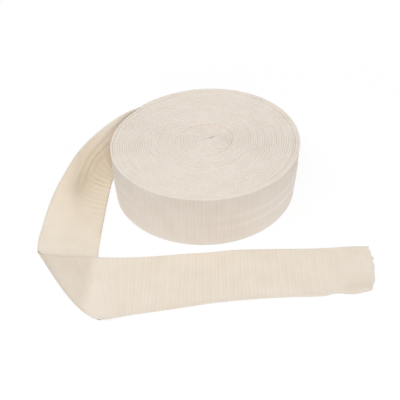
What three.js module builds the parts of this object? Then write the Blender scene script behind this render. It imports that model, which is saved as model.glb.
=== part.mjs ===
// A roll of tubular bandage, lying on its flat side with its loose end drawn out in front of it.
// The bandage is a long knitted cotton tube, pressed flat, so the strip is two layers of cloth thick.
// Millimetres, +Z up. The origin is on the axis of the roll, on the surface that it lies on.
import * as THREE from "three";

// Driving dimensions
const WIDTH = 45; // of the flat tube, which is also the height of the roll
const RADIUS = 73.5; // of the roll, at the middle of its last turn's outer face
const TURN = 1.78; // how much each turn adds to the radius: two layers, wound with a light pull
const SHEET = 1.8; // thickness of the loose end: the same two layers, lying slack
const GAP = 0.3; // between the roll and the loose end that leaves it
const LEAVES_AT = 140; // degrees round the roll, from +X towards +Y, where the last turn comes free
const EDGE = 1.3; // radius of the rounded edge that the folds of the tube give the roll

// The roll

// The roll was squeezed a little out of round: each row is one low wave on its outline.
const LOBES = [
  { waves: 2, share: 0.029, towards: 38.6 },
  { waves: 3, share: 0.0086, towards: 70 },
];

// Height of the turns over the level of the rim, from the outermost turn to the eye in the middle.
const TOP_LEVELS = [
  { share: 0.975, rise: -0.1 },
  { share: 0.95, rise: -0.8 },
  { share: 0.86, rise: -0.5 },
  { share: 0.7, rise: -0.3 },
  { share: 0.52, rise: -0.4 },
  { share: 0.47, rise: -0.9 },
  { share: 0.33, rise: -0.8 },
  { share: 0.28, rise: -2 },
  { share: 0.1, rise: -1.4 },
  { share: 0.035, rise: -3 },
  { share: 0, rise: -3.3 },
];

const ROUND_STEPS = 98;
const EDGE_STEPS = 3;
const LAST_TURN_FACE = 0.3; // degrees round the roll that the end of its last turn takes
const DEGREE = Math.PI / 180;

// Distance of the roll's outer face from its axis. The last turn ends in a step of one turn's thickness.
function rollRadius(degrees) {
  const turned = THREE.MathUtils.euclideanModulo(degrees - LEAVES_AT, 360) || 360;
  const round = LOBES.reduce(
    (sum, lobe) => sum + lobe.share * Math.cos(lobe.waves * (degrees - lobe.towards) * DEGREE),
    1,
  );
  return RADIUS * round - TURN * (1 - turned / 360);
}

function at(x, y, z) {
  return new THREE.Vector3(x, y, z);
}

function polar(degrees, radius, z) {
  return at(radius * Math.cos(degrees * DEGREE), radius * Math.sin(degrees * DEGREE), z);
}

// A closed geometry from rings of points, each ring joined to the next, with a fan round a point at each end.
function skin(rings, ends) {
  const count = rings[0].length;
  const points = rings.flat();
  const index = [];
  for (let r = 0; r + 1 < rings.length; r++) {
    for (let i = 0; i < count; i++) {
      const a = r * count + i;
      const b = r * count + ((i + 1) % count);
      index.push(a, b, b + count, a, b + count, a + count);
    }
  }
  const last = (rings.length - 1) * count;
  const first = points.push(ends[0]) - 1;
  const final = points.push(ends[1]) - 1;
  for (let i = 0; i < count; i++) {
    const next = (i + 1) % count;
    index.push(first, next, i, final, last + i, last + next);
  }
  const geometry = new THREE.BufferGeometry().setFromPoints(points);
  geometry.setIndex(index);
  geometry.computeVertexNormals();
  return geometry;
}

// Stations from halfway out on the flat base, out, up the side and in over the turns to the eye:
// each is a share of the outline's radius, a set-back from it, and a height.
function rollStations() {
  const stations = [{ share: 0.5, back: 0, z: 0 }];
  for (let i = 0; i <= EDGE_STEPS; i++) {
    const turn = (i / EDGE_STEPS) * (Math.PI / 2);
    stations.push({ share: 1, back: EDGE * (1 - Math.sin(turn)), z: EDGE * (1 - Math.cos(turn)) });
  }
  for (let i = 0; i <= EDGE_STEPS; i++) {
    const turn = (i / EDGE_STEPS) * (Math.PI / 2);
    stations.push({ share: 1, back: EDGE * (1 - Math.cos(turn)), z: WIDTH - EDGE * (1 - Math.sin(turn)) });
  }
  TOP_LEVELS.forEach((level) => stations.push({ share: level.share, back: 0, z: WIDTH + level.rise }));
  return stations;
}

function woundRoll() {
  const angles = [];
  for (let i = 0; i < ROUND_STEPS; i++) {
    angles.push(LEAVES_AT + LAST_TURN_FACE + ((360 - LAST_TURN_FACE) * i) / (ROUND_STEPS - 1));
  }
  const stations = rollStations();
  const eye = stations.pop();
  const rings = stations.map((s) =>
    angles.map((angle) => polar(angle, rollRadius(angle) * s.share - s.back, s.z)),
  );
  return skin(rings, [at(0, 0, 0), at(0, 0, eye.z)]);
}

// The loose end

const LYING = SHEET / 2; // height of the middle of the cloth where it lies on the floor
const BESIDE = GAP + SHEET / 2; // the middle of the cloth, out from the roll that it lies against

// A point beside the roll, out from its outer face by the given distance.
function byRoll(degrees, out, z) {
  return polar(degrees, rollRadius(degrees) + out, z);
}

// Sections across the strip, from where it leaves the roll to its cut end. foot is the edge that was at the
// bottom of the roll and rim the edge that was at its top. footTilt and rimTilt are the cloth's slope at each
// edge, in degrees. footBow and rimBow push the two halves of the section to the left, seen from foot to rim.
// crease is the height of the lengthwise wrinkles that gather there.
const SECTIONS = [
  { foot: byRoll(140.6, BESIDE, 0), rim: byRoll(140.6, BESIDE, WIDTH), footTilt: 90, rimTilt: 90, crease: 0 },
  { foot: byRoll(148, 1.3, 0), rim: byRoll(149, 3.1, 44.8), footTilt: 88, rimTilt: 84, crease: 0.2 },
  { foot: byRoll(156, 1.6, 0.1), rim: byRoll(155, 5.2, 43.6), footTilt: 86, rimTilt: 80, crease: 0.5 },
  { foot: byRoll(164, 2.2, 0.2), rim: at(-76.2, 24, 41.2), footTilt: 80, rimTilt: 68, crease: 0.9 },
  { foot: byRoll(171, 3.4, 0.4), rim: at(-86.6, 16.8, 38), footTilt: 55, rimTilt: 50, crease: 1.1 },
  { foot: at(-76.8, 5, 0.7), rim: at(-96.8, 9.3, 32), footTilt: 20, rimTilt: 35, crease: 1 },
  { foot: at(-77.9, -2.2, LYING), rim: at(-105, 2.8, 25), footTilt: 0, rimTilt: 22, crease: 0.8 },
  { foot: at(-78.2, -10.3, LYING), rim: at(-111.4, -4, 18.4), footTilt: 0, rimTilt: 15, crease: 0.6 },
  { foot: at(-78.4, -20, LYING), rim: at(-116.7, -12, 12.5), footTilt: 0, rimTilt: 10, crease: 0.4 },
  { foot: at(-78.4, -31, LYING), rim: at(-120, -21, 7.7), footTilt: 0, rimTilt: 6, crease: 0.2 },
  { foot: at(-78.3, -43.5, LYING), rim: at(-122.3, -31.2, 4.4), footTilt: 0, rimTilt: 3 },
  { foot: at(-78.1, -59, LYING), rim: at(-124, -45, 2) },
  { foot: at(-77.4, -80, LYING), rim: at(-124.8, -57.5, 1.1), footBow: 1 },
  { foot: at(-75.4, -106, LYING), rim: at(-124, -67.5, LYING), footBow: 3 },
];

// The strip then doubles back over itself on a slanting fold, from its foot edge to its rim edge.
// radius is half the height of the fold.
const FOLD = {
  foot: { at: at(-66.8, -137, LYING), radius: 2 },
  rim: { at: at(-118.8, -76.8, LYING), radius: 2.4 },
  footBow: 8,
  steps: 8,
};

// Sections of the upper lap, which comes down off the fold, and of the front strip.
const FRONT_SECTIONS = [
  { foot: at(-65, -137.4, 4.8), rim: at(-107, -82, 5.8), footBow: 6 },
  { foot: at(-63.2, -137.6, 4.3), rim: at(-92, -86, 5.6), footBow: 2 },
  { foot: at(-60.6, -137.1, 3.3), rim: at(-77, -88, 5.2), footBow: 1 },
  { foot: at(-55, -135.2, 1.9), rim: at(-62.5, -87.2, 4) },
  { foot: at(-45, -132.6, 1), rim: at(-46, -85.6, 2.4) },
  { foot: at(-22, -128.6, LYING), rim: at(-22, -82.3, 1.2) },
  { foot: at(0, -124.4, LYING), rim: at(0, -79.8, LYING) },
  { foot: at(26, -120.9, LYING), rim: at(26, -77.2, LYING) },
  { foot: at(55, -118.7, LYING), rim: at(55, -76.3, LYING) },
  { foot: at(77, -117.6, LYING), rim: at(79, -76, LYING) },
  { foot: at(87.3, -115.2, LYING), rim: at(92, -75, LYING), footBow: -1, rimBow: -1 },
  { foot: at(99, -115.6, LYING), rim: at(104.5, -73.6, LYING), footBow: -3, rimBow: -3 },
  { foot: at(110.8, -112.6, LYING), rim: at(116.4, -73.8, LYING), footBow: -4.6, rimBow: -4.6 },
];

const COLUMNS = 18; // across the strip
const ROW_LENGTH = 7.5; // of the strip between two rows of points, at most
const CREASES = { waves: 2.5, from: 0.35, to: 0.85 }; // lengthwise wrinkles, and the share of the width they fill

function foldSections() {
  const along = FOLD.rim.at.clone().sub(FOLD.foot.at).normalize();
  const out = new THREE.Vector3(-along.y, along.x, 0);
  const sections = [];
  for (let i = 0; i <= FOLD.steps; i++) {
    const turn = (Math.PI * i) / FOLD.steps;
    const place = ({ at: start, radius }) =>
      start
        .clone()
        .addScaledVector(out, radius * Math.sin(turn))
        .add(at(0, 0, radius * (1 - Math.cos(turn))));
    sections.push({ foot: place(FOLD.foot), rim: place(FOLD.rim), footBow: FOLD.footBow });
  }
  return sections;
}

// Left of a section, seen from its foot to its rim.
function leftOf({ foot, rim }) {
  return at(foot.y - rim.y, rim.x - foot.x, 0).normalize();
}

// A curve from foot to rim that starts and ends at the two slopes. Its length is the strip's width, less
// what the wrinkles gather up. reach is how far its two handles go, as a share of the chord.
const STRAIGHT_REACH = 1 / 3;
const LONGEST_REACH = 0.9;
const REACH_HALVINGS = 16;
function crossCurve(section) {
  const { foot, rim, footTilt, rimTilt, footBow, rimBow, crease } = section;
  const gathered = (Math.PI * crease * CREASES.waves) ** 2 / (WIDTH * (CREASES.to - CREASES.from));
  const left = leftOf(section);
  const level = at(left.y, -left.x, 0);
  const slope = (tilt) =>
    level.clone().multiplyScalar(Math.cos(tilt * DEGREE)).add(at(0, 0, Math.sin(tilt * DEGREE)));
  const chord = foot.distanceTo(rim);
  const bend = (reach) =>
    new THREE.CubicBezierCurve3(
      foot,
      foot.clone().addScaledVector(slope(footTilt), chord * reach).addScaledVector(left, footBow),
      rim.clone().addScaledVector(slope(rimTilt), -chord * reach).addScaledVector(left, rimBow),
      rim,
    );
  if (footTilt + rimTilt < 1) return bend(STRAIGHT_REACH); // it lies flat, so its chord is its length
  let low = STRAIGHT_REACH;
  let high = LONGEST_REACH;
  for (let i = 0; i < REACH_HALVINGS; i++) {
    const middle = (low + high) / 2;
    if (bend(middle).getLength() < WIDTH - gathered) low = middle;
    else high = middle;
  }
  return bend(low);
}

// Values between two sections follow a smooth curve through the sections on either side.
function between(sections, place) {
  const i = Math.min(Math.floor(place), sections.length - 2);
  const share = place - i;
  const near = [-1, 0, 1, 2].map((k) => sections[THREE.MathUtils.clamp(i + k, 0, sections.length - 1)]);
  const smooth = (a, b, c, d) =>
    b + 0.5 * share * (c - a + share * (2 * a - 5 * b + 4 * c - d + share * (3 * (b - c) + d - a)));
  const number = (name) => smooth(...near.map((section) => section[name] ?? 0));
  const point = (name) => at(...["x", "y", "z"].map((axis) => smooth(...near.map((s) => s[name][axis]))));
  return {
    foot: point("foot"),
    rim: point("rim"),
    footTilt: number("footTilt"),
    rimTilt: number("rimTilt"),
    footBow: number("footBow"),
    rimBow: number("rimBow"),
    crease: number("crease"),
  };
}

function crossPoints(section) {
  const curve = crossCurve(section);
  const left = leftOf(section);
  const points = [];
  for (let i = 0; i <= COLUMNS; i++) {
    const share = i / COLUMNS;
    const p = curve.getPointAt(share);
    const inCreases = (share - CREASES.from) / (CREASES.to - CREASES.from);
    if (inCreases > 0 && inCreases < 1) {
      const side = curve.getTangentAt(share).cross(left).normalize();
      const window = Math.sin(Math.PI * inCreases);
      const wave = Math.sin(2 * Math.PI * CREASES.waves * inCreases);
      p.addScaledVector(side, section.crease * window * wave);
    }
    points.push(p);
  }
  return points;
}

// Rows of points on the middle surface of the strip.
function stripRows() {
  const sections = [...SECTIONS, ...foldSections(), ...FRONT_SECTIONS];
  const rows = [];
  for (let i = 0; i + 1 < sections.length; i++) {
    const [a, b] = [sections[i], sections[i + 1]];
    const apart = Math.max(a.foot.distanceTo(b.foot), a.rim.distanceTo(b.rim));
    const steps = Math.ceil(apart / ROW_LENGTH);
    for (let k = 0; k < steps; k++) rows.push(crossPoints(between(sections, i + k / steps)));
  }
  rows.push(crossPoints(between(sections, sections.length - 1)));
  return rows;
}

// The strip with its thickness: each row becomes a closed ring, out along one face and back along the other.
function looseEnd() {
  const rows = stripRows();
  const normal = (r, c) => {
    const alongStrip = rows[Math.min(r + 1, rows.length - 1)][c].clone().sub(rows[Math.max(r - 1, 0)][c]);
    const across = rows[r][Math.min(c + 1, COLUMNS)].clone().sub(rows[r][Math.max(c - 1, 0)]);
    return alongStrip.cross(across).normalize();
  };
  const rings = rows.map((row, r) => {
    const face = (side) => row.map((p, c) => p.clone().addScaledVector(normal(r, c), (side * SHEET) / 2));
    return [...face(-1), ...face(1).reverse()];
  });
  rings.forEach((ring) => ring.forEach((p) => (p.z = Math.max(p.z, 0))));
  const middle = (row) => row[COLUMNS / 2].clone();
  return skin(rings, [middle(rows[0]), middle(rows[rows.length - 1])]);
}

const cotton = new THREE.MeshStandardMaterial({
  color: 0xe9dfce,
  roughness: 0.95,
  metalness: 0,
  side: THREE.DoubleSide,
});

function piece(name, geometry) {
  const mesh = new THREE.Mesh(geometry, cotton);
  mesh.name = name;
  return mesh;
}

const bandage = new THREE.Group();
bandage.add(piece("wound_roll", woundRoll()));
bandage.add(piece("loose_end", looseEnd()));

export default bandage;
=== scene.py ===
# %% [markdown]
# # A roll of tubular bandage
# This lesson dresses a plain CAD model of a tubular bandage in its real cloth. The bandage is ten metres
# of narrow cotton tube, knitted in the round, pressed flat and wound up like a tape. Everything is in
# metres, +Z is up, and the origin is on the axis of the roll, on the table.

# %% Load the frame
import functools
import math

import bmesh
import bpy
import numpy as np
from mathutils import Matrix, Vector


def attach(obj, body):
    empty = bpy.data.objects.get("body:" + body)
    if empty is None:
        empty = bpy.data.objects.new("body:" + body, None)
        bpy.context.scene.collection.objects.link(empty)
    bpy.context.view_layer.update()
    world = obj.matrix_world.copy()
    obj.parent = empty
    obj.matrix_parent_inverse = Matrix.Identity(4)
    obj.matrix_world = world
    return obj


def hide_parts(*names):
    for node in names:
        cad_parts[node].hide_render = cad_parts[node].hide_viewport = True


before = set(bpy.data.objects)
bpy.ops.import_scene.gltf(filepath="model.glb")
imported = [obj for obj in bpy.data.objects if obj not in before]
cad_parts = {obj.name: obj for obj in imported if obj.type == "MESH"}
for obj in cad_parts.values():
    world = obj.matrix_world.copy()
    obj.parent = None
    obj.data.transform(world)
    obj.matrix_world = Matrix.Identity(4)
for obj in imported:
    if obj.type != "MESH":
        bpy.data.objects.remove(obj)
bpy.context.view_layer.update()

# %% [markdown]
# ## The camera
# A roll on a table is mostly seen from about forty degrees above, so that its end and its side both show.
# The lens is a little longer than normal, and the camera leans by half a degree, as one held by hand
# does. Three turns, one after the other, are easier to adjust than a target.

# %% The camera
CAMERA_PLACE = (0, -0.328, 0.2808)
CAMERA_YAW, CAMERA_PITCH, CAMERA_LEAN = 0.9, -42.62, -0.58  # degrees
camera = bpy.data.objects.new("camera", bpy.data.cameras.new("camera"))
camera.data.lens, camera.data.sensor_width = 46.6, 36  # millimetres
camera.matrix_world = (
    Matrix.Translation(CAMERA_PLACE)
    @ Matrix.Rotation(math.radians(CAMERA_YAW), 4, "Z")
    @ Matrix.Rotation(math.radians(90 + CAMERA_PITCH), 4, "X")
    @ Matrix.Rotation(math.radians(CAMERA_LEAN), 4, "Z")
)
bpy.context.scene.collection.objects.link(camera)
bpy.context.scene.camera = camera
bpy.context.scene.view_settings.view_transform = "Standard"
print("the camera is", round(Vector(CAMERA_PLACE).length, 2), "m from the roll's foot")

# %% [markdown]
# ## Nodes and colours
# Two small helpers serve every material. One turns a colour as a painter writes it, an sRGB hex value,
# into the linear values that a renderer works in. The other adds a node, sets it up and links it.

# %% Helpers for nodes and colours
def linear(hex_colour):
    channels = [int(hex_colour[i : i + 2], 16) / 255 for i in (0, 2, 4)]
    return [c / 12.92 if c <= 0.04045 else ((c + 0.055) / 1.055) ** 2.4 for c in channels] + [1]


def add_node(tree, kind, inputs=(), **settings):
    """A new node. inputs are the values of its sockets, in order or by name or number: a plain value,
    an output of another node, or another node, which stands for its first output."""
    node = tree.nodes.new("ShaderNode" + kind)
    for name, value in settings.items():
        setattr(node, name, value)
    for socket, value in inputs.items() if isinstance(inputs, dict) else enumerate(inputs):
        if isinstance(value, bpy.types.Node):
            value = next(output for output in value.outputs if output.enabled)
        if isinstance(value, bpy.types.NodeSocket):
            tree.links.new(value, node.inputs[socket])
        else:
            node.inputs[socket].default_value = value
    return node


print("the middle grey 808080 is", round(linear("808080")[0], 3), "in linear values")

# %% [markdown]
# ## Light and floor
# Unbleached cotton shows its cream colour only in plain light. Seven soft lamps stand round the roll, most
# of them in front and to the left, so the flat cloth is evenly lit and the sides of the roll are a step
# darker. The sky fills in faintly from all round, above the horizon only. To the camera it is plain white.

# %% The sky
SKY_STRENGTH = 0.34
WHITE = (1, 1, 1, 1)
world = bpy.data.worlds.new("studio")
world.use_nodes = True
world.node_tree.nodes.clear()
bpy.context.scene.world = world
add = functools.partial(add_node, world.node_tree)
seen = add("LightPath")
behind = seen.outputs["Is Camera Ray"]
for ray in ("Is Glossy Ray", "Is Transmission Ray"):
    behind = add("Math", (behind, seen.outputs[ray]), operation="MAXIMUM")
direction = add("SeparateXYZ", [add("TexCoord").outputs["Generated"]])
above = add("Math", (direction.outputs["Z"], 0), operation="GREATER_THAN")
strength = add("Math", (above, SKY_STRENGTH), operation="MULTIPLY")
lighting = add("Background", {"Color": WHITE, "Strength": strength})
backdrop = add("Background", {"Color": WHITE, "Strength": 1})
add("OutputWorld", {"Surface": add("MixShader", (behind, lighting, backdrop))})
print("the sky lights the cloth at", SKY_STRENGTH)

# %% The lamps
LAMP_SIZE = 0.6
LAMPS = (
    # name, place, power
    ("front", (0, -0.92, 0.77), 3.1),
    ("front_low", (0.2, -1.1, 0.3), 1.8),
    ("front_left_high", (-0.36, -0.36, 1.09), 2.8),
    ("left", (-0.85, 0, 0.85), 2.6),
    ("right_low", (1.09, 0, 0.5), 2.7),
    ("right_high", (0.6, 0, 1.04), 0.8),
    ("back", (0, 0.77, 0.92), 1.1),
)
for lamp_name, place, power in LAMPS:
    lamp = bpy.data.objects.new(lamp_name, bpy.data.lights.new(lamp_name, "AREA"))
    lamp.data.energy, lamp.data.size = power, LAMP_SIZE
    aim = (-Vector(place)).to_track_quat("-Z", "Y")
    lamp.matrix_world = Matrix.LocRotScale(Vector(place), aim, None)
    bpy.context.scene.collection.objects.link(lamp)
print(len(LAMPS), "lamps of", round(sum(power for *_, power in LAMPS), 1), "W in all")

# %% [markdown]
# The floor is a card of white paper, and it lights the sides of the roll from below. To the camera it
# glows a little, so that it looks white up to the edge of the soft shadow.

# %% The floor
CARD = 0.2  # half the side of the white card
PAPER = linear("f4f4f4")
GLOW, GLOW_STRENGTH = 0.85, 1.03  # share and brightness of the plain white that the camera sees
floor_bm = bmesh.new()
bmesh.ops.create_grid(floor_bm, x_segments=1, y_segments=1, size=CARD)
floor_mesh = bpy.data.meshes.new("floor")
floor_bm.to_mesh(floor_mesh)
floor_bm.free()
floor = bpy.data.objects.new("floor", floor_mesh)
bpy.context.scene.collection.objects.link(floor)
paper = bpy.data.materials.new("white_paper")
paper.use_nodes = True
paper.node_tree.nodes.clear()
add = functools.partial(add_node, paper.node_tree)
seen_by_camera = add("LightPath").outputs["Is Camera Ray"]
glow_share = add("Math", (seen_by_camera, GLOW), operation="MULTIPLY")
matt = add("BsdfDiffuse", {"Color": PAPER})
white = add("Emission", {"Color": WHITE, "Strength": GLOW_STRENGTH})
add("OutputMaterial", {"Surface": add("MixShader", (glow_share, matt, white))})
floor_mesh.materials.append(paper)
print("the card is", 2 * CARD, "m wide")

# %% [markdown]
# ## Unbleached cotton knit
# The tube is knitted from soft cotton yarn, undyed, so it is a warm cream with a faintly mottled look and
# now and then a fleck of seed husk. The pattern reads the piece's own UV map, which is in metres of
# cloth, u along the strip and v round the tube, so that it bends with the cloth.

# %% Start the knit
PALE_UNTIL, PALE_FADE = 9.42, 0.12  # metres of cloth from the middle of the roll that are paler and cooler
cotton_knit = bpy.data.materials.new("unbleached_cotton_knit")
cotton_knit.use_nodes = True
cotton_knit.node_tree.nodes.clear()
add = functools.partial(add_node, cotton_knit.node_tree)
coordinates = add("TexCoord")
in_space = coordinates.outputs["Object"]
cloth = add("SeparateXYZ", [coordinates.outputs["UV"]])
along_cloth, round_cloth = cloth.outputs["X"], cloth.outputs["Y"]
wound_share = add("MapRange", {
    "Value": along_cloth,
    "From Min": PALE_UNTIL,
    "From Max": PALE_UNTIL + PALE_FADE,
    "To Min": 1,
    "To Max": 0,
})
loose_share = add("Math", (1, wound_share), operation="SUBTRACT")
print("the cloth changes colour over", PALE_FADE, "m where it leaves the roll")

# %% [markdown]
# Much of what the eye sees on the cloth lies in bands. Across the strip there is a stretch that leans out
# from the roll, one that is pressed flat round the fold and one that hangs slack by the cut. Along it run
# the strip's upper half, two bands of painted light on the ridges of the roll's side, and the folded edges.
# Each band is a share that is full at its middle and fades out on both sides, so one loop makes them all.

# %% The bands
WIDTH = 0.045  # of the flat tube
BANDS = {
    # name: what is measured, the band's middle, and how far from there it is full and it is over
    "leaning": (along_cloth, 9.55, 0.035, 0.07),
    "pressed": (along_cloth, 9.612, 0.0325, 0.065),
    "slack": (along_cloth, 9.85, 0.015, 0.05),
    "upper half": (round_cloth, WIDTH, 0.013, 0.027),
    "high ridge light": (round_cloth, 0.026, 0, 0.0026),
    "low ridge light": (round_cloth, 0.0163, 0, 0.0026),
    "first edge": (round_cloth, 0, 0, 0.0016),
    "far edge": (round_cloth, WIDTH, 0, 0.0016),
    "last edge": (round_cloth, 2 * WIDTH, 0, 0.0016),
}
band = {}
for name, (measure, middle, full, over) in BANDS.items():
    off = add("Math", (measure, middle), operation="SUBTRACT")
    off = add("Math", [off], operation="ABSOLUTE")
    fades = {"Value": off, "From Min": full, "From Max": over, "To Min": 1, "To Max": 0}
    band[name] = add("MapRange", fades)
print(len(band), "bands:", ", ".join(band))

# %% [markdown]
# Every few rows a stretchy thread pulls the knit together, which raises fine ribs across the strip. Every
# second rib stands higher, the rows drift a little, and in places the ribs all but vanish, as in cloth
# that has been handled.

# %% The ribs
RIB = 0.00262  # from one rib to the next, along the strip
RIB_DRIFT, DRIFT_SIZE = 1.1, 0.02  # how far the rows drift, in radians, and over what distance
PAIR_STRENGTH = 0.6  # of every second rib
FADED_SIZE, FADED = 0.009, -0.1  # size of the places where the ribs are weak, and how much weaker they are
drift = add("TexNoise", {"Vector": in_space, "Scale": 1 / DRIFT_SIZE})
drift = add("Math", (drift, RIB_DRIFT), operation="MULTIPLY")
phase = add("Math", (along_cloth, 2 * math.pi / RIB, drift), operation="MULTIPLY_ADD")
fine_rib = add("Math", [phase], operation="SINE")
half_phase = add("Math", (phase, 0.5), operation="MULTIPLY")
pair_rib = add("Math", [half_phase], operation="SINE")
even_ribs = add("Math", (pair_rib, PAIR_STRENGTH, fine_rib), operation="MULTIPLY_ADD")
rib_strength = add("TexNoise", {"Vector": in_space, "Scale": 1 / FADED_SIZE})
rib_strength = add("Math", (rib_strength, FADED), operation="ADD")
ribs = add("Math", (even_ribs, rib_strength), operation="MULTIPLY")
print("ribs:", round(1 / RIB / 100, 1), "to the centimetre")

# %% [markdown]
# Ribs show only where the stretchy threads are free to pull. They are weaker where the cloth is pressed
# flat round the fold, where it is slack by the cut, and in the upper half of the leaning stretch, which is
# drawn tight.

# %% Where the ribs are weak
PRESSED_OUT, SLACK_OUT, DRAWN_OUT = 0.7, 0.7, 0.75  # share of the ribs that is lost in each place
drawn_tight = add("Math", (band["upper half"], band["leaning"]), operation="MULTIPLY")
LOSSES = ((band["pressed"], PRESSED_OUT), (band["slack"], SLACK_OUT), (drawn_tight, DRAWN_OUT))
for where, share in LOSSES:
    kept = add("Math", (where, -share, 1), operation="MULTIPLY_ADD")
    ribs = add("Math", (ribs, kept), operation="MULTIPLY")
print("the ribs are weaker in", len(LOSSES), "places")

# %% [markdown]
# Stitches stand in columns along the tube, and each one is a small V. Real stitches are about a
# millimetre wide, so they are drawn as bump and a light painted shade in their gaps only.

# %% The stitches
WALE = 0.0011  # from one column of stitches to the next, round the tube
COURSE = 0.0009  # height of one stitch
VEE = 1.2  # steepness of the V: how many stitches its sides would run back over a whole column's width
columns = add("Math", (round_cloth, WALE), operation="DIVIDE")
column = add("Math", [columns], operation="FRACT")
from_middle = add("Math", (column, -0.5), operation="ADD")
vee = add("Math", [from_middle], operation="ABSOLUTE")
course = add("Math", (along_cloth, COURSE), operation="DIVIDE")
course = add("Math", (vee, VEE, course), operation="MULTIPLY_ADD")
course_angle = add("Math", (course, 2 * math.pi), operation="MULTIPLY")
stitch = add("Math", [course_angle], operation="SINE")
column_angle = add("Math", (column, 2 * math.pi), operation="MULTIPLY")
groove = add("Math", [column_angle], operation="COSINE")
stitches = add("Math", (stitch, groove), operation="SUBTRACT")
stitches = add("Math", (stitches, 0.5), operation="MULTIPLY")
print("stitches round the tube:", round(2 * WIDTH / WALE))

# %% [markdown]
# Light on two low ridges of the roll's side is painted in as two soft bands, paler than the cloth round
# them, and they come and go every half turn.

# %% Painted light on the ridges of the roll's side
# the painted light on the side ridges comes and goes every half turn, and is weakest at the second number
HALF_TURN, RIDGE_LIGHT_WEAK_AT = 0.23, 9.15  # of the last turn, in metres of cloth, and a place without creases
past_weak = add("Math", (along_cloth, RIDGE_LIGHT_WEAK_AT), operation="SUBTRACT")
half_turns = add("Math", (past_weak, 2 * math.pi / HALF_TURN), operation="MULTIPLY")
half_turns = add("Math", [half_turns], operation="COSINE")
ridge_light_strength = add("Math", (half_turns, -0.5, 0.5), operation="MULTIPLY_ADD")
painted_ridge_light = add("Math", (band["high ridge light"], band["low ridge light"]), operation="ADD")
for strength in (ridge_light_strength, wound_share):
    painted_ridge_light = add("Math", (painted_ridge_light, strength), operation="MULTIPLY")
print("the creases are strongest every", HALF_TURN, "m")

# %% [markdown]
# Furrows and the gaps between stitches get painted shade, a little darker and warmer than the ribs. Soft
# blotches vary the cloth's own tone. The paler bands on the roll's side are painted light on its ridges, and
# the stretch round the fold is a little paler. The roll's turns are paler and cooler than the loose end;
# their paleness is painted light that lifts the shade between the turns.

# %% The cotton's colour
MOTTLE, FUZZ = 0.012, 0.0006  # sizes of the soft blotches and of the loose fibres
# the furrow colours are painted shade, darker and warmer than the ribs
LOOSE_RIBS, LOOSE_FURROW_SHADE = linear("efe5d8"), linear("e0d3c0")
# the roll's pair is painted paler, which lifts the shade between its turns, and is a little cooler
WOUND_RIBS, WOUND_FURROW_SHADE = linear("f0e7de"), linear("e1d5c6")
SHARE, FROM, TO = 0, 6, 7  # sockets of a node that mixes colours
mottle = add("TexNoise", {"Vector": in_space, "Scale": 1 / MOTTLE, "Detail": 3})
fuzz = add("TexNoise", {"Vector": in_space, "Scale": 1 / FUZZ, "Detail": 4})
# ribs and stitches darken their furrows and gaps as painted shade; mottle and fuzz are the cloth's own tone
DARKNESS = (
    # pattern, how much it darkens the cloth
    (ribs, -0.22),
    (stitches, -0.08),
    (mottle, 0.7),
    (fuzz, 0.5),
    # painted light: paler bands on the ridges of the roll's side
    (painted_ridge_light, -0.75),
    (band["pressed"], -0.2),
)
dark = -0.18  # evens out the mottle and the fuzz, so that plain cloth lies between rib and furrow
for pattern, weight in DARKNESS:
    dark = add("Math", (pattern, weight, dark), operation="MULTIPLY_ADD")
light = add("Mix", {SHARE: wound_share, FROM: LOOSE_RIBS, TO: WOUND_RIBS}, data_type="RGBA")
shade = add("Mix", {SHARE: wound_share, FROM: LOOSE_FURROW_SHADE, TO: WOUND_FURROW_SHADE}, data_type="RGBA")
colour = add("Mix", {SHARE: dark, FROM: light, TO: shade}, data_type="RGBA")
print("ribs on the loose end are", [round(c, 2) for c in LOOSE_RIBS[:3]])

# %% [markdown]
# Unbleached cotton keeps a few crumbs of the seed's husk. They show as small brown flecks, here in one in
# five of the places where one could be.

# %% The husk flecks
FLECK, FLECK_RADIUS = 0.011, 0.028  # from one fleck to the next, and its radius as a share of that
FLECKLESS, FLECK_STRENGTH = 0.8, 0.5  # share of the places that stay empty, and how strong a fleck is
HUSK = linear("8a6a48")
seeds = add("TexVoronoi", {"Vector": in_space, "Scale": 1 / FLECK})
near = add("Math", (seeds.outputs["Distance"], FLECK_RADIUS), operation="LESS_THAN")
seed_chance = add("SeparateXYZ", [seeds.outputs["Color"]])
rare = add("Math", (seed_chance, FLECKLESS), operation="GREATER_THAN")
husk = add("Math", (near, rare), operation="MULTIPLY")
husk = add("Math", (husk, FLECK_STRENGTH), operation="MULTIPLY")
colour = add("Mix", {SHARE: husk, FROM: colour, TO: HUSK}, data_type="RGBA")
print("flecks are", round(2000 * FLECK * FLECK_RADIUS, 1), "mm wide")

# %% [markdown]
# The folded edges of the loose end get a little painted grey shade, where they curve down to the table.
# Over a second layer of itself the thin cloth gets painted shade, for the light that a white table sends
# back through it. The piece says where that is, in an attribute of its own. The leaning stretch gets a
# painted warm tint, for the light that it gets from cream cloth.

# %% Painted shade at the edges and over cloth, and warm bounce light
EDGE_SHADE_TINT, CLOTH_SHADE_TINT, PAINTED_BOUNCE_TINT = linear("e6e5ea"), linear("eeebe8"), linear("fffdf8")
# painted grey shade along the folded edges of the loose end, where they curve down to the table
PAINTED_EDGE_SHADE = (("first edge", 0.35), ("far edge", 0.3), ("last edge", 0.35))  # how strongly
painted_edge_shade = 0.0
for edge, shade_strength in PAINTED_EDGE_SHADE:
    painted_edge_shade = add("Math", (band[edge], shade_strength, painted_edge_shade), operation="MULTIPLY_ADD")
painted_edge_shade = add("Math", (painted_edge_shade, loose_share), operation="MULTIPLY")
# painted shade where the cloth lies on itself, read from the piece's attribute
painted_cloth_shade = add("Attribute", attribute_name="over_cloth_shade").outputs["Fac"]
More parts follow.
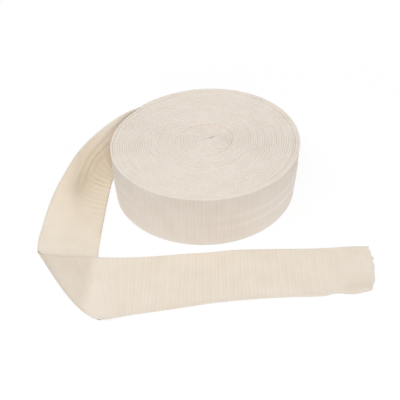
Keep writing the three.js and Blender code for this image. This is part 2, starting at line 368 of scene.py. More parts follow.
# painted: grey shade at the edges, shade over cloth, and warm bounce light on the leaning stretch
TINTS = ((painted_edge_shade, EDGE_SHADE_TINT), (painted_cloth_shade, CLOTH_SHADE_TINT), (band["leaning"], PAINTED_BOUNCE_TINT))
for share, left in TINTS:
    colour = add("Mix", {SHARE: share, FROM: colour, TO: left}, data_type="RGBA", blend_type="MULTIPLY")
print("cloth over cloth keeps", round(CLOTH_SHADE_TINT[1], 2), "of its light")

# %% [markdown]
# Ribs, stitches and loose fibres all stand up a little, which gives the cloth the soft, dry grain of
# cotton. The yarn lets some light through and has a faint sheen of fibres at its edges.

# %% The cotton's surface
STANDS_UP = ((ribs, 0.00007), (stitches, 0.00003), (fuzz, 0.00008))  # pattern, and its height in metres
height = 0.0
for pattern, tall in STANDS_UP:
    height = add("Math", (pattern, tall, height), operation="MULTIPLY_ADD")
relief = add("Bump", {"Height": height, "Distance": 1.0, "Strength": 0.9})
cotton = add("BsdfPrincipled", {
    "Base Color": colour,
    "Roughness": 0.95,
    "Subsurface Weight": 0.1,
    "Subsurface Radius": (1, 0.7, 0.45),
    "Subsurface Scale": 0.003,
    "IOR": 1.45,
    "Specular IOR Level": 0.15,
    "Sheen Weight": 0.12,
    "Sheen Roughness": 0.5,
    "Normal": relief,
})
add("OutputMaterial", {"Surface": cotton})
print(cotton_knit.name, "has", len(cotton_knit.node_tree.nodes), "nodes")

# %% [markdown]
# ## The roll's outline
# A hand-wound roll is never quite round. Two low waves on its outline, one with two crests and one with
# three, are enough for that. The cloth is a spiral: each turn lies one thickness further out. Towards the
# middle the turns close round a small flat eye, which isn't in the centre.

# %% Measures of the roll
RADIUS = 0.0735  # of the roll, over its last turn
TURN = 0.00178  # that each turn adds
LEAVES_AT = math.radians(140)  # where the last turn comes free, from +X towards +Y
LOBES = ((2, 0.029, math.radians(38.6)), (3, 0.0086, math.radians(70)))  # waves, share, direction


def outline(angle):
    return 1 + sum(share * np.cos(waves * (angle - towards)) for waves, share, towards in LOBES)


face = RADIUS * outline(np.radians(np.arange(360)))
print("the face is", round(1000 * face.min(), 1), "to", round(1000 * face.max(), 1), "mm from the axis")

# %% Where a turn passes
PUSHES = (((0.0064, 0.0058), 0.016), ((-0.002, -0.0032), 0.045))  # off centre, and how far out it reaches
EYE_ALONG, EYE_LONG = math.radians(48), 0.003  # direction of the flat eye, and about half its length
EYE_SOFT = 0.15  # how gently the cloth passes from one end of the eye to the other; with 0 it would jump


def turn_at(radius, angle):
    """Where the cloth that lies at this distance from the eye passes this angle, in plan."""
    facing = np.cos(angle - EYE_ALONG)
    flat = EYE_LONG * (1 - radius / RADIUS) ** 2 * facing / np.sqrt(facing**2 + EYE_SOFT)
    push_x, push_y = (sum(p[k] * np.exp(-((radius / reach) ** 2)) for p, reach in PUSHES) for k in (0, 1))
    x = push_x + radius * outline(angle) * np.cos(angle) + flat * math.cos(EYE_ALONG)
    y = push_y + radius * outline(angle) * np.sin(angle) + flat * math.sin(EYE_ALONG)
    return np.stack([x, y], -1)


eye_ends = turn_at(0.0, EYE_ALONG), turn_at(0.0, EYE_ALONG + math.pi)
print("the eye is", round(1000 * math.hypot(*sum(eye_ends) / 2), 1), "mm off the axis")

# %% [markdown]
# ## How high each turn stands
# The turns slip up and down against each other as a roll is wound and handled. Here the middle has sunk,
# most of all at the back, the outermost turns stand a little proud, and every turn has a few tenths of a
# millimetre of its own.

# %% Heights of the turns
LEVELS = (
    # distance from the eye as a share of the radius, and height above the strip's own width
    (0.0, -0.0004), (0.1, -0.0002), (0.2, -0.0005), (0.28, -0.0009), (0.3, -0.0005), (0.465, -0.0009),
    (0.485, -0.0003), (0.7, -0.0002), (0.86, -0.0004), (0.92, -0.0006), (0.94, -0.0009), (0.955, -0.0001),
    (1.0, 0.0),
)
SUNK, SUNK_WITHIN, SUNK_TOWARDS = 0.002, (0.282, 0.3), math.radians(70)
SUNK_EVENLY = 0.55  # share of the sinking that is the same all round
SLIPS = (
    # radians of the slip's wave for each radian of winding, its height, and where it starts in radians
    (0.618, 0.00009, 1.3), (1.37, 0.00008, 0.4), (2.71, 0.00006, 2.2), (5.3, 0.00005, 5.0),
)
LEVEL_TURNS = 3  # the outermost turns, over which the slips die away


def rim_height(radius, wound):
    shares, heights = zip(*LEVELS)
    share = radius / RADIUS
    slip = sum(size * np.sin(rate * wound + start) for rate, size, start in SLIPS)
    settled = np.clip((1 - share) * RADIUS / (LEVEL_TURNS * TURN), 0, 1)
    side = SUNK_EVENLY + (1 - SUNK_EVENLY) * np.cos(LEAVES_AT + wound - SUNK_TOWARDS)
    sunk = SUNK * side * np.interp(share, SUNK_WITHIN, (1, 0))
    return WIDTH + np.interp(share, shares, heights) - sunk + slip * settled


print("rims from the eye outwards, mm:", *np.round(1000 * rim_height(np.linspace(0, RADIUS, 5), 0), 1))

# %% [markdown]
# ## A flat tube
# Both pieces of the bandage are made in the same way. A plain grid is the tube cut open along one side:
# its long way runs along the cloth and its short way once round the tube. Each vertex is then taken to
# its place on the flattened tube, the cut is welded, and the ends are closed. bmesh keeps the faces, so
# only the places have to be worked out.

# %% Loops round a flat tube
FOLD_STEPS = 6  # facets round each folded edge
FOLD_DEPTH = 0.0003  # how far the folded edge stands out from the flat part


def tube_loops(middle, outward, half, depths):
    """Loops round the tube from rows of points across its middle, up one face and down the other.
    outward points to the first face, half is half the thickness at each point, and depths are how far
    the folded edges stand out beyond the first and the last point of each row."""
    first, second = middle + outward * half[..., None], middle - outward * half[..., None]

    def folded(end, inner):
        reach = middle[:, end] - middle[:, inner]
        reach = reach / np.linalg.norm(reach, axis=1, keepdims=True) * depths[:, end, None]
        turns = [math.pi * k / FOLD_STEPS for k in range(1, FOLD_STEPS)]
        thick = outward[:, end] * half[:, end, None]
        return np.stack([middle[:, end] + thick * math.cos(t) + reach * math.sin(t) for t in turns], 1)

    top, bottom = folded(-1, -2), folded(0, 1)
    return np.concatenate([first, top, second[:, ::-1], bottom[:, ::-1]], 1)


print("a folded edge has", FOLD_STEPS, "facets")

# %% Distance round the tube
def round_tube(columns):
    """Distance round the tube of each point of such a loop, closed by the first point again."""
    flat = np.linspace(0, WIDTH - 2 * FOLD_DEPTH, columns)
    gap = 2 * FOLD_DEPTH / FOLD_STEPS
    one_side = np.concatenate([flat, flat[-1] + gap * np.arange(1, FOLD_STEPS)])
    both = np.concatenate([one_side, one_side + flat[-1] + FOLD_STEPS * gap])
    return np.append(both, 2 * (flat[-1] + FOLD_STEPS * gap))


print("once round the tube is", round(1000 * round_tube(2)[-1]), "mm")

# %% Lay a grid round the tube
def bent_grid(loops, along, over_cloth_shade):
    """A grid whose vertices lie at loops[row, point]. along[row, point] is the distance along the cloth,
    and the last argument is the share of painted shade at each point, 1 where the cloth lies on another
    layer."""
    rows, points = loops.shape[:2]
    v_of = round_tube((points - 2 * (FOLD_STEPS - 1)) // 2)
    bm = bmesh.new()
    bmesh.ops.create_grid(bm, x_segments=rows - 1, y_segments=points, size=0.5)  # one metre square
    uv = bm.loops.layers.uv.new("cloth")
    on_cloth = bm.verts.layers.float.new("over_cloth_shade")
    where = {v: (round((v.co.x + 0.5) * (rows - 1)), round((v.co.y + 0.5) * points)) for v in bm.verts}
    for face in bm.faces:
        face.smooth = True
        for corner in face.loops:
            row, point = where[corner.vert]
            corner[uv].uv = (along[row, point % points], v_of[point])
    for vertex, (row, point) in where.items():
        vertex.co = loops[row, point % points]
        vertex[on_cloth] = over_cloth_shade[row, point % points]
    return bm


print("the grid's own UV map is in metres of cloth")

# %% Weave a tube from its loops
WELD = 1e-7  # vertices nearer to each other than this become one


def flat_tube(name, loops, along, over_cloth_shade):
    """The piece whose loops, distances along the cloth and shares of painted shade over cloth are these."""
    bm = bent_grid(loops, along, over_cloth_shade)
    bmesh.ops.remove_doubles(bm, verts=bm.verts, dist=WELD)
    bmesh.ops.holes_fill(bm, edges=[e for e in bm.edges if e.is_boundary], sides=0)
    bmesh.ops.recalc_face_normals(bm, faces=bm.faces)
    mesh = bpy.data.meshes.new(name)
    bm.to_mesh(mesh)
    bm.free()
    mesh.materials.append(cotton_knit)
    piece = bpy.data.objects.new(name, mesh)
    bpy.context.scene.collection.objects.link(piece)
    print(name, "has", sum(len(p.vertices) - 2 for p in mesh.polygons), "triangles")
    return piece


print("vertices within", WELD, "m of each other are welded")

# %% [markdown]
# ## The wound turns
# The spiral starts at the eye and winds outwards for forty turns. Steps of three millimetres look round at
# this size, and the small turns by the eye get steps of their own. The strip's thickness follows the room
# between one turn and the next, so no two turns cut into each other.

# %% The spiral in plan
EYE_OPEN = 0.0009  # half the slit that stays open in the eye
NUDGE = 0.0001  # radians before and after a place, to find which way the cloth runs there


def outer_radius(wound):
    """At angles back from where the cloth leaves the roll, which are negative."""
    return RADIUS + TURN * wound / (2 * math.pi)


def wound_plan(wound):
    """At such angles, the middle of the cloth, the direction outwards and the room that the cloth has."""
    radius = outer_radius(wound) - TURN / 2
    angle = LEAVES_AT + wound
    inside, outside = np.maximum(radius - TURN / 2, EYE_OPEN), radius + TURN / 2
    mean = (inside + outside) / 2
    ahead = turn_at(mean, angle + NUDGE) - turn_at(mean, angle - NUDGE)
    ahead /= np.linalg.norm(ahead, axis=1, keepdims=True)
    out = np.stack([ahead[:, 1], -ahead[:, 0]], 1)
    inner, outer = turn_at(inside, angle), turn_at(outside, angle)
    return (inner + outer) / 2, out, np.sum((outer - inner) * out, 1)


print("the last turn has", round(1000 * wound_plan(np.zeros(1))[2][0], 2), "mm of room where it comes free")

# %% Rows across the wound cloth
SQUEEZE = 0.49  # half thickness, as a share of the room between two turns
FOOT_UP = 0.0001  # from the floor to the foot of the wound cloth


def wound_rows(wound, columns):
    """Middle points, outward directions and half thicknesses of the cloth at such angles."""
    plan, out, room = wound_plan(wound)
    low = FOLD_DEPTH + FOOT_UP
    high = rim_height(outer_radius(wound) - TURN / 2, wound) - FOLD_DEPTH
    heights = low + (high - low)[:, None] * np.linspace(0, 1, columns)
    middle = np.concatenate([np.repeat(plan[:, None], columns, 1), heights[..., None]], 2)
    outward = np.zeros_like(middle)
    outward[..., :2] = out[:, None]
    return middle, outward, np.repeat((SQUEEZE * room)[:, None], columns, 1)


def distance_along(line):
    """From the first point of a line to each of its points."""
    steps = np.linalg.norm(np.diff(line, axis=0), axis=1)
    return np.concatenate([[0], np.cumsum(steps)])


print("one row is", round(1000 * distance_along(wound_rows(np.zeros(1), 2)[0][0])[-1], 1), "mm tall")

# %% Wind the turns
HELD_TURNS = 1.25  # of the roll's last turns, which belong to the loose end's piece
WOUND_STEP, STEPS_PER_TURN = 0.003, 26  # between rows, and the fewest steps for the smallest turns
WOUND_COLUMNS = 5
first_angle = -2 * math.pi * (RADIUS - TURN / 2) / TURN
wound = [first_angle]
while wound[-1] < -2 * math.pi * HELD_TURNS:
    wound.append(wound[-1] + min(2 * math.pi / STEPS_PER_TURN, WOUND_STEP / outer_radius(wound[-1])))
wound = np.array(wound[:-1] + [-2 * math.pi * HELD_TURNS])
middle, outward, half = wound_rows(wound, WOUND_COLUMNS)
wound_along = distance_along(middle.mean(1))
WOUND_LENGTH = wound_along[-1]
loops = tube_loops(middle, outward, half, np.full((len(middle), 2), FOLD_DEPTH))
along = np.repeat(wound_along[:, None], loops.shape[1], 1)
wound_turns = flat_tube("wound_turns", loops, along, np.zeros_like(along))
turns = -first_angle / 2 / math.pi - HELD_TURNS
print("wound cloth:", round(WOUND_LENGTH, 2), "m in", round(turns, 1), "turns")

# %% [markdown]
# ## The path of the loose end
# The loose end is drawn by sections across the strip, each a line from its foot, the edge that was at the
# bottom of the roll, to its rim, the edge that was at the top. The cloth leaves the roll standing up,
# leans out and falls flat, doubles back over itself on a slanting fold, and runs to the right.

# %% A point beside the roll
SHEET = 0.0018  # thickness of the loose end
LYING = SHEET / 2


def by_roll(degrees, out, z):
    """A point at this angle and height, out from the roll's face."""
    angle = math.radians(degrees)
    back = (math.degrees(LEAVES_AT) - degrees) % 360  # round the last turn
    reach = RADIUS * outline(angle) - TURN * back / 360 + out
    return (reach * math.cos(angle), reach * math.sin(angle), z)


print("cloth that lies down has its middle", round(1000 * LYING, 1), "mm up")

# %% [markdown]
# Tilts give a section's slope at both edges, bows push it sideways, and a flat foot moves the steep part
# towards the rim. The width is how much cloth the section has from edge to edge.

# %% Sections from the roll to the fold
TO_FOLD = [
    # foot, rim, tilt of foot and rim, bow of foot and rim, flat foot, width
    (by_roll(148, 0.0013, 0), by_roll(149, 0.0042, 0.0448), 90, 75),
    (by_roll(156, 0.0016, 0.0001), by_roll(155, 0.0074, 0.0436), 90, 45, 0, 0, 0, 0.0445),
    (by_roll(164, 0.0022, 0.0002), (-0.0778, 0.0266, 0.0412), 75, 28, 0, 0, 0, 0.0435),
    (by_roll(171, 0.0034, 0.0004), (-0.0868, 0.0181, 0.0382), 35, 30, 0, 0, 0.1, 0.0424),
    ((-0.0768, 0.005, 0.0007), (-0.096, 0.0112, 0.0327), 10, 34, 0, 0, 0.3, 0.0413),
    ((-0.0779, -0.0022, LYING), (-0.1035, 0.005, 0.0268), 0, 32, 0, 0, 0.35, 0.0408),
    ((-0.0782, -0.0103, LYING), (-0.1087, -0.002, 0.0219), 0, 18, 0, 0, 0.35, 0.041),
    ((-0.0784, -0.02, LYING), (-0.1126, -0.0122, 0.0185), 0, 11, 0, 0, 0.3, 0.0418),
    ((-0.0784, -0.031, LYING), (-0.1163, -0.023, 0.0151), 0, 8, 0, 0, 0.25, 0.0436),
    ((-0.0783, -0.0435, LYING), (-0.1197, -0.0325, 0.0104), 0, 5, 0, 0, 0.2, 0.046),
    ((-0.0781, -0.059, LYING), (-0.1223, -0.0443, 0.0056), 0, 4, 0, 0, 0.1, 0.0475),
    ((-0.0774, -0.08, LYING), (-0.1233, -0.0563, 0.0026), 0, 2, 0.001, 0, 0, 0.053),
    ((-0.0754, -0.106, LYING), (-0.1236, -0.0666, 0.0014), 0, 0, 0.003),
]
print(len(TO_FOLD), "sections lead from the roll to the fold")

# %% [markdown]
# As the cloth twists outwards, wrinkles gather along it. Each section lists its ridges from the rim
# inwards, so a ridge can be followed down a column of the table. They rise where the cloth leaves the
# roll, are tallest where it leans over, and run out before it lies flat.

# %% The ridges
RIDGE_PLACES = {
    # section after the roll: how far across the strip each of its ridges lies, and how high it stands
    0: (0.99, 0.0002, 0.94, 0.0003, 0.86, 0.0003, 0.78, 0.0002),
    1: (0.99, 0.0003, 0.93, 0.0004, 0.82, 0.0004, 0.72, 0.0003),
    2: (0.99, 0.0004, 0.91, 0.0006, 0.79, 0.0007, 0.67, 0.0005),
    3: (0.99, 0.0005, 0.87, 0.0008, 0.735, 0.0009, 0.59, 0.0005),
    4: (0.99, 0.0004, 0.83, 0.0009, 0.69, 0.0009, 0.55, 0.0005),
    5: (0.99, 0.0003, 0.8, 0.0007, 0.655, 0.0007, 0.52, 0.0003),
    6: (0.99, 0.0001, 0.765, 0.0005, 0.63, 0.0005, 0.5, 0),
    7: (0.99, 0, 0.75, 0.0003, 0.6, 0.0002, 0.5, 0),
}
NO_RIDGES = (0.99, 0, 0.75, 0, 0.6, 0, 0.5, 0)  # the places of ridges that have run out, at no height
print("the tallest ridge is", round(1000 * max(max(row[1::2]) for row in RIDGE_PLACES.values()), 1), "mm")

# %% The first sections
UPRIGHT = 90
STANDING_AT = (132, 136, 140)  # degrees round the roll, up to where the cloth comes free
RIM_OUT = 0.00001  # keeps a standing section's rim apart from its foot in plan


def section(foot, rim, foot_tilt=0, rim_tilt=0, foot_bow=0, rim_bow=0, flat_foot=0, width=WIDTH,
            ridges=NO_RIDGES):
    return np.array([*foot, *rim, foot_tilt, rim_tilt, foot_bow, rim_bow, flat_foot, width, *ridges], float)


sections = [
    section(by_roll(d, -TURN / 2, 0), by_roll(d, -TURN / 2 + RIM_OUT, WIDTH), UPRIGHT, UPRIGHT)
    for d in STANDING_AT
]
sections += [section(*row, ridges=RIDGE_PLACES.get(i, NO_RIDGES)) for i, row in enumerate(TO_FOLD)]
print(len(sections), "sections of", len(sections[0]), "numbers before the fold")

# %% [markdown]
# At the fold the cloth rolls over a slanting line: half a turn about it, wider at the rim than at the
# foot.

# %% The fold
FOLD_FROM = (-0.0676, -0.1347, LYING, -0.1222, -0.0773, LYING)  # foot and rim where the fold begins
FOLD_TO = (-0.0653, -0.1374, 0.003, -0.1118, -0.0852, 0.0043)  # and where it ends, on top
FOLD_RADII = (0.00105, 0.0014)  # at the foot and at the rim
FOLD_BOW, FOLD_PARTS = 0.0115, 8  # how far it is bowed, and the parts that its half turn is made in
fold_start, fold_end = len(sections), len(sections) + FOLD_PARTS
line = np.array(FOLD_FROM[3:5]) - FOLD_FROM[:2]
out = np.array((-line[1], line[0])) / np.linalg.norm(line)
for k in range(FOLD_PARTS + 1):
    turn = math.pi * k / FOLD_PARTS
    level, lift = turn / math.pi, (1 - math.cos(turn)) / 2
    place = FOLD_FROM + np.subtract(FOLD_TO, FOLD_FROM) * np.array((level, level, lift) * 2)
    place[:2] += out * FOLD_RADII[0] * math.sin(turn)
    place[3:5] += out * FOLD_RADII[1] * math.sin(turn)
    sections.append(section(place[:3], place[3:], foot_bow=FOLD_BOW))
print("the fold is made of sections", fold_start, "to", fold_end)

# %% The strip that runs to the right
ALONG_FRONT = [
    # foot, rim, bow of foot and rim
    ((-0.0646, -0.1375, 0.0029), (-0.1046, -0.0865, 0.0048), 0.0095, 0),
    ((-0.0638, -0.1376, 0.0028), (-0.0985, -0.0868, 0.0045), 0.007, 0),
    ((-0.0628, -0.1376, 0.0027), (-0.0902, -0.0866, 0.0039), 0.004, 0),
    ((-0.0606, -0.1371, 0.0024), (-0.0765, -0.0867, 0.0035), 0.001, 0),
    ((-0.055, -0.1352, 0.0016), (-0.0625, -0.0868, 0.0032), 0, 0),
    ((-0.045, -0.1326, 0.001), (-0.046, -0.0856, 0.0022), 0, 0),
    ((-0.022, -0.1286, LYING), (-0.022, -0.0823, 0.0012), 0, 0),
    ((0, -0.1244, LYING), (0, -0.0798, LYING), 0, 0),
    ((0.026, -0.1209, LYING), (0.026, -0.0772, LYING), 0, 0),
    ((0.055, -0.1187, LYING), (0.055, -0.0763, LYING), 0, 0),
    ((0.077, -0.1176, LYING), (0.079, -0.076, LYING), 0, 0),
    ((0.0873, -0.1152, LYING), (0.092, -0.075, LYING), -0.001, -0.001),
    ((0.099, -0.1156, LYING), (0.1045, -0.0736, LYING), -0.003, -0.003),
    ((0.1108, -0.1126, LYING), (0.1164, -0.0738, LYING), -0.0046, -0.0046),
]
sections += [section(foot, rim, foot_bow=a, rim_bow=b) for foot, rim, a, b in ALONG_FRONT]
print(len(sections), "sections in all")

# %% [markdown]
# ## From sections to rows
# A smooth curve through neighbouring sections fills in the rows between them. Each row is a Bezier curve
# from foot to rim. Where the cloth leans, the curve's handles are stretched until the row is as long as
# its section is wide. That is less than the strip's own width where small wrinkles take some of it up,
# and more where a row crosses the strip on a slant.

# %% Curves
def between(place):
    """The section at a place such as 3.5, halfway between sections 3 and 4."""
    i = min(int(place), len(sections) - 2)
    t = place - i
    a, b, c, d = (sections[min(max(i + k, 0), len(sections) - 1)] for k in (-1, 0, 1, 2))
    return b + 0.5 * t * (c - a + t * (2 * a - 5 * b + 4 * c - d + t * (3 * (b - c) + d - a)))


def bezier(points, t):
    t = t[:, None]
    return sum(w * p for w, p in zip(((1 - t) ** 3, 3 * t * (1 - t) ** 2, 3 * t * t * (1 - t), t**3), points))


def sloping(level, degrees):
    """The direction that climbs by so many degrees above a level one."""
    return level * math.cos(math.radians(degrees)) + np.array((0, 0, math.sin(math.radians(degrees))))


print("halfway through the fold, foot and rim are", *between((fold_start + fold_end) / 2)[:6].round(4))

# %% The curve of one row
SHORTEST_REACH, LONGEST_REACH = 0.2, 0.9  # limits of the handles, as shares of the chord
REACH_HALVINGS = 16  # how often the search halves the range between them
SLACK_FOR_FULL = 0.006  # spare width that lets the handles reach as far as they like
LEANS_FROM = 1  # degrees that both tilts come to; flatter rows can't be stretched
FINE = np.linspace(0, 1, 65)  # where the curve is measured


def row_curve(values, width):
    """A curve this long from foot to rim, or as near to it as the handles can reach, and the level
    direction square to it."""
    foot, rim = values[:3], values[3:6]
    foot_tilt, rim_tilt, foot_bow, rim_bow, flat_foot = values[6:11]
    level = np.array((rim[0] - foot[0], rim[1] - foot[1], 0))
    level /= np.linalg.norm(level)
    left = np.array((-level[1], level[0], 0))
    chord = np.linalg.norm(rim - foot)

    def bend(reach):
        near = foot + sloping(level, foot_tilt) * chord * reach * (1 + flat_foot) + left * foot_bow
        far = rim - sloping(level, rim_tilt) * chord * reach * (1 - flat_foot) + left * rim_bow
        return bezier((foot, near, far, rim), FINE)

    shortest, longest = SHORTEST_REACH, LONGEST_REACH
    if foot_tilt + rim_tilt >= LEANS_FROM:
        for _ in range(REACH_HALVINGS):
            reach = (shortest + longest) / 2
            short = distance_along(bend(reach))[-1] < width
            shortest, longest = (reach, longest) if short else (shortest, reach)
    slack = max(width - chord, 0)
    return bend(min(shortest, SHORTEST_REACH + slack / SLACK_FOR_FULL)), left


first_curve, _ = row_curve(sections[0], WIDTH)
print("the first section's curve is", round(1000 * distance_along(first_curve)[-1], 1), "mm long")

# %% The points of one row
COLUMNS = 45
EDGE_DEPTH = 0.0009  # how far the loose end's softer folded edges stand out
RIDGE_WIDE = 0.047  # half the width of one ridge, as a share of the strip's width
RIDGE_TAKES = 0.63  # a ridge takes up this much cloth, times its height squared over its half width


def cross_row(values):
    """The middle points of one row, from foot to rim, with its ridges."""
    width, *ridges = values[11:]
    gathered = RIDGE_TAKES * sum(height**2 for height in ridges[1::2]) / (RIDGE_WIDE * WIDTH)
    curve, left = row_curve(values, width - gathered)
    lengths = distance_along(curve)
    wanted = np.linspace(EDGE_DEPTH, lengths[-1] - EDGE_DEPTH, COLUMNS)
    row = np.stack([np.interp(wanted, lengths, curve[:, k]) for k in range(3)], 1)
    side = np.cross(np.gradient(row, axis=0), left)
    side /= np.linalg.norm(side, axis=1, keepdims=True)
    share = wanted / lengths[-1]
    across_and_tall = zip(ridges[::2], ridges[1::2])
    rise = sum(tall * np.exp(-(((share - at) / RIDGE_WIDE) ** 2)) for at, tall in across_and_tall)
    return row + side * rise[:, None]


print("a row has", COLUMNS, "points")

# %% Fill in the rows
FIRST_LOOSE = len(STANDING_AT) - 1  # the section where the cloth comes free
RIBBED_UNTIL = fold_start - 3  # the last section whose rows the ribs follow
ROW_GAPS = (0.0009, 0.0013)  # between rows as far as that section, and past it
places = []
for i in range(FIRST_LOOSE, len(sections) - 1):
    a, b = sections[i], sections[i + 1]
    apart = max(np.linalg.norm(a[:3] - b[:3]), np.linalg.norm(a[3:6] - b[3:6]))
    steps = math.ceil(apart / ROW_GAPS[i >= RIBBED_UNTIL])
    places += [i + k / steps for k in range(steps)]
places = np.array(places + [len(sections) - 1])
loose_rows = np.array([cross_row(between(p)) for p in places])
last_rib = int(np.argmax(places >= RIBBED_UNTIL))
print(len(loose_rows), "rows, ribs follow the rows up to", last_rib)

# %% [markdown]
# ## The last turns
# The loose end is one piece with the last turn and a quarter of the roll, so the cloth runs on unbroken
# from the side of the roll. Its start is hidden under the turn that follows. Round the roll's side run the
# low ridges that a hand's pull leaves in a wound cloth, strong in some places and gone in others.

# %% Wind the last turns
HELD_STEP = 0.0025
held_angle = 2 * math.pi * HELD_TURNS
held = np.linspace(-held_angle, 0, int(held_angle * RADIUS / HELD_STEP))[:-1]
held_middle, held_outward, held_half = wound_rows(held, COLUMNS)
print(len(held), "rows on the roll")

# %% Raise the ridges round them
STREAKS = ((0.026, 0.0005), (0.0163, 0.00045), (0.0085, 0.0003))  # height over the table, and rise
STREAK_WIDE = 0.0017  # half the width of one
STREAK_STRENGTH = (
    # degrees round the roll, past the place where the cloth leaves it, and strength there
    (-345, 0), (-325, 1.5), (-280, 1.5), (-255, 0.2), (-220, 0), (-195, 0.7), (-180, 1),
    (-130, 1), (-105, 0.3), (-75, 0.3), (-45, 1), (60, 1), (110, 0),
)
heights = held_middle[..., 2]
streaks = sum(rise * np.exp(-(((heights - at) / STREAK_WIDE) ** 2)) for at, rise in STREAKS)
streak_at, streak_strength = zip(*STREAK_STRENGTH)
streaks *= np.interp(np.degrees(LEAVES_AT + held), streak_at, streak_strength)[:, None]
held_middle += held_outward * streaks[..., None]
print("ridges round the roll are up to", round(streaks.max() * 1000, 1), "mm tall")

# %% Join them to the loose rows
middle = np.concatenate([held_middle, loose_rows])
mean_along = distance_along(middle.mean(1))
outward = np.cross(np.gradient(middle, axis=0), np.gradient(middle, axis=1))
outward /= np.linalg.norm(outward, axis=2, keepdims=True)
outward[: len(held)] = held_outward
LOOSE_LENGTH = mean_along[-1]
print("the last turns and the loose end are", round(LOOSE_LENGTH, 3), "m long")

# %% [markdown]
# ## The loose end's relief
# Off the roll the stretchy threads are free to pull. They crimp the lower half of the leaning cloth into
# fine waves, one to every two ribs.

# %% Crimp the leaning cloth
CRIMP, CRIMPED_WITHIN = 0.00028, (0.25, 0.6)  # height, and shares across between which they run out
CRIMPED_SECTIONS = (5, 6.5, 10, 15)  # where the crimps start, are full, stop being full and are gone
CRIMP_UNEVEN, UNEVEN_EVERY = 0.35, 0.0043  # how much they differ, and the cloth to each radian of that
loose = slice(len(held), None)  # the rows past the roll
loose_along, across_share = mean_along[loose], np.linspace(0, 1, COLUMNS)
crimped_along = np.interp(places, CRIMPED_SECTIONS, (0, 1, 1, 0))
crimped_across = np.interp(across_share, CRIMPED_WITHIN, (1, 0))
uneven = 1 - CRIMP_UNEVEN + CRIMP_UNEVEN * np.sin(loose_along / UNEVEN_EVERY)
crimps = CRIMP * uneven * np.sin(math.pi * (loose_along + WOUND_LENGTH) / RIB)
crimped = (crimped_along * crimps)[:, None] * crimped_across
middle[loose] += outward[loose] * crimped[..., None]
print("crimps up to", round(np.abs(crimped).max() * 1000, 2), "mm")

# %% [markdown]
# Between two turns the cloth is squeezed, and off the roll it gets back its full thickness. The tube's
# near edge swells towards the cut, where nothing holds it shut, and the lying cloth isn't quite even.

# %% Thicken the cloth
SWELLS_OVER = 0.03  # metres off the roll, where the cloth gets back its full thickness
PUFF, PUFF_LONG, PUFF_WIDE = 0.0008, 0.055, 0.006  # how much the near edge swells, how far along and in
PUFF_POWER = 0.7  # under 1, so that it swells early and then slowly
swell = np.clip(distance_along(loose_rows.mean(1)) / SWELLS_OVER, 0, 1)
loose_half = held_half[-1, 0] + (LYING - held_half[-1, 0]) * swell
half = np.concatenate([held_half, np.repeat(loose_half[:, None], COLUMNS, 1)])
to_cut = LOOSE_LENGTH - loose_along
puff = PUFF * np.clip(1 - to_cut / PUFF_LONG, 0, 1) ** PUFF_POWER
swollen = puff[:, None] * np.exp(-((across_share * WIDTH / PUFF_WIDE) ** 2))
print("by the cut the near edge swells by", round(2000 * swollen.max(), 1), "mm")

# %% Make the lying cloth uneven
WAVE_TALL = 0.00008
WAVES = ((0.0053, 2), (0.0087, -3))  # cloth to each radian of a wave, and radians across the strip
LIES_FROM = (2, 5)  # sections past the fold, over which the cloth comes to lie
past_fold = places - fold_end  # in sections
lying = np.interp(past_fold, LIES_FROM, (0, 1))[:, None]
waves = sum(np.sin(to_cut[:, None] / every + slant * across_share) for every, slant in WAVES)
swollen = swollen + WAVE_TALL * lying * waves
half[loose] += swollen
middle[loose, :, 2] += swollen
print("the edge by the cut is", round(2000 * half[-1, 0], 1), "mm thick")

# %% Loops round the loose end
depths = np.full((len(middle), 2), FOLD_DEPTH)
depths[loose] += (EDGE_DEPTH - FOLD_DEPTH) * swell[:, None]
depths[loose, 0] += puff
loops = tube_loops(middle, outward, half, depths)
loops[..., 2] = np.maximum(loops[..., 2], 0)
print(loops.shape[1], "points round the tube")

# %% [markdown]
# ## The cut
# Scissors leave a knit ragged: the cut wanders from stitch to stitch, and a loop of yarn stands out here
# and there. The seed picks which stitches, so the same ones stand out each time.

# %% Make the cut ragged
RAGGED_SEED, RAGGED, RAGGED_EVERY, RAGGED_FINE = 3, 0.0006, 4, 0.0003
LOOPS_OUT, LOOP_OUT = 12, 0.0006  # loops of yarn that stand out from it
chance = np.random.default_rng(RAGGED_SEED)
around = np.arange(loops.shape[1])
knots = around[::RAGGED_EVERY]
torn = np.interp(around, knots, chance.uniform(-RAGGED, RAGGED, len(knots)))
ragged = torn + chance.uniform(-RAGGED_FINE, RAGGED_FINE, len(around))
ragged[chance.choice(around, LOOPS_OUT, replace=False)] += LOOP_OUT
ahead_of_cut = loops[-1] - loops[-2]
ahead_of_cut /= np.linalg.norm(ahead_of_cut, axis=1, keepdims=True)
loops[-1] += ahead_of_cut * ragged[:, None]
print("the cut wanders by", round(np.ptp(ragged) * 1000, 1), "mm")

# %% [markdown]
# ## What the knit reads
# Until shortly before the fold the ribs follow the rows, straight across the strip. In the fold the two
# edges of the strip run different ways round, so there each line of points measures its own cloth. By the
# end of the fold the knit has pulled itself straight again.

# %% Distance along the cloth
STRAIGHTENS = (-3, 0)  # sections past the fold between which the ribs straighten
ribbed_to = len(held) + last_rib
own = np.linalg.norm(np.diff(loops[ribbed_to:], axis=0), axis=2).cumsum(0)
along = np.repeat(mean_along[:, None], loops.shape[1], 1)
along[ribbed_to + 1 :] = mean_along[ribbed_to] + own
straight = np.interp(past_fold, STRAIGHTENS, (0, 1))[:, None]
along[loose] += (along[loose].mean(1, keepdims=True) - along[loose]) * straight
print("by the cut, the edges' measures differ by", round(np.ptp(along[-1]) * 1000), "mm")

# %% [markdown]
# From the fold on the cloth lies on itself, as far as the inner edge of the layer below, and there it gets
# painted shade, for the light that a white table would send back through thin cloth. The shade is full
# where the cloth rolls over, as painted shade on the rounded fold, and lighter once it lies flat.

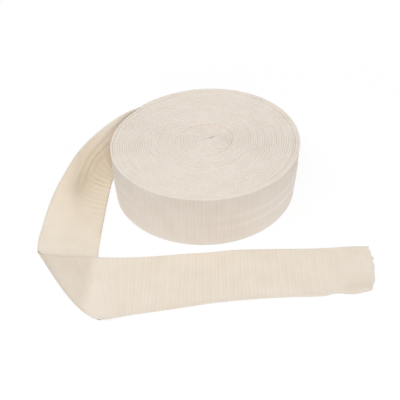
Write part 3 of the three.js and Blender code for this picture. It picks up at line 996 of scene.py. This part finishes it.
# %% Where the cloth lies on itself
CLOTH_SHADE_FLAT, CLOTH_SHADE_FADE = 0.78, 0.007  # share of it that is left on flat cloth, and the width it fades over
EDGE_UNTIL = 0.03  # metres up past the ribbed rows, as far as the lower layer's edge matters
DIMS_FROM, ROLLED_UNTIL = (-1 / 3, 1), (-3, -1)  # sections past the fold's start, and past its end
inner_edge = loose_rows[: last_rib + 1, 0]
inner_edge = inner_edge[inner_edge[:, 1] < loose_rows[last_rib, -1, 1] + EDGE_UNTIL][::-1]
edge_x = np.interp(loops[..., 1], inner_edge[:, 1], inner_edge[:, 0])
over_cloth_shade = np.clip((edge_x - loops[..., 0]) / CLOTH_SHADE_FADE + 0.5, 0, 1)
in_fold = np.interp(places - fold_start, DIMS_FROM, (0, 1))
rolled = np.interp(past_fold, ROLLED_UNTIL, (1, 0))
over_cloth_shade[: len(held)] = 0
over_cloth_shade[loose] *= (in_fold * (CLOTH_SHADE_FLAT + (1 - CLOTH_SHADE_FLAT) * rolled))[:, None]
print(round(100 * np.mean(over_cloth_shade[loose] > 0)), "% of the loose end lies on cloth")

# %% [markdown]
# At the cut the flat tube gapes a little. Its wall turns back inside, towards the middle of the cloth, so
# the eye looks into a small dark mouth between two layers.

# %% Close the tube and weave it
MOUTH_ROWS, MOUTH_SHARE = (0, 1, 2), 0.4  # rows back from the cut, and the inner height as a share
core = tube_loops(middle, outward, np.zeros_like(half), np.zeros_like(depths))
mouth = [-1 - back for back in MOUTH_ROWS]
loops = np.concatenate([loops, core[mouth] + (loops[mouth] - core[mouth]) * MOUTH_SHARE])
along, over_cloth_shade = (np.concatenate([values, values[mouth]]) for values in (along, over_cloth_shade))
drawn_end = flat_tube("drawn_end", loops, along + WOUND_LENGTH, over_cloth_shade)
print("loose piece:", round(LOOSE_LENGTH, 3), "m")

# %% [markdown]
# ## Fit the pieces to the frame
# Each piece rides on the frame's one body and takes the place of its plain solid.

# %% Ride and replace
for piece, node in ((wound_turns, "wound_roll"), (drawn_end, "loose_end")):
    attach(piece, "root")
    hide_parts(node)
print("the whole tube is", round(WOUND_LENGTH + LOOSE_LENGTH, 2), "m long")
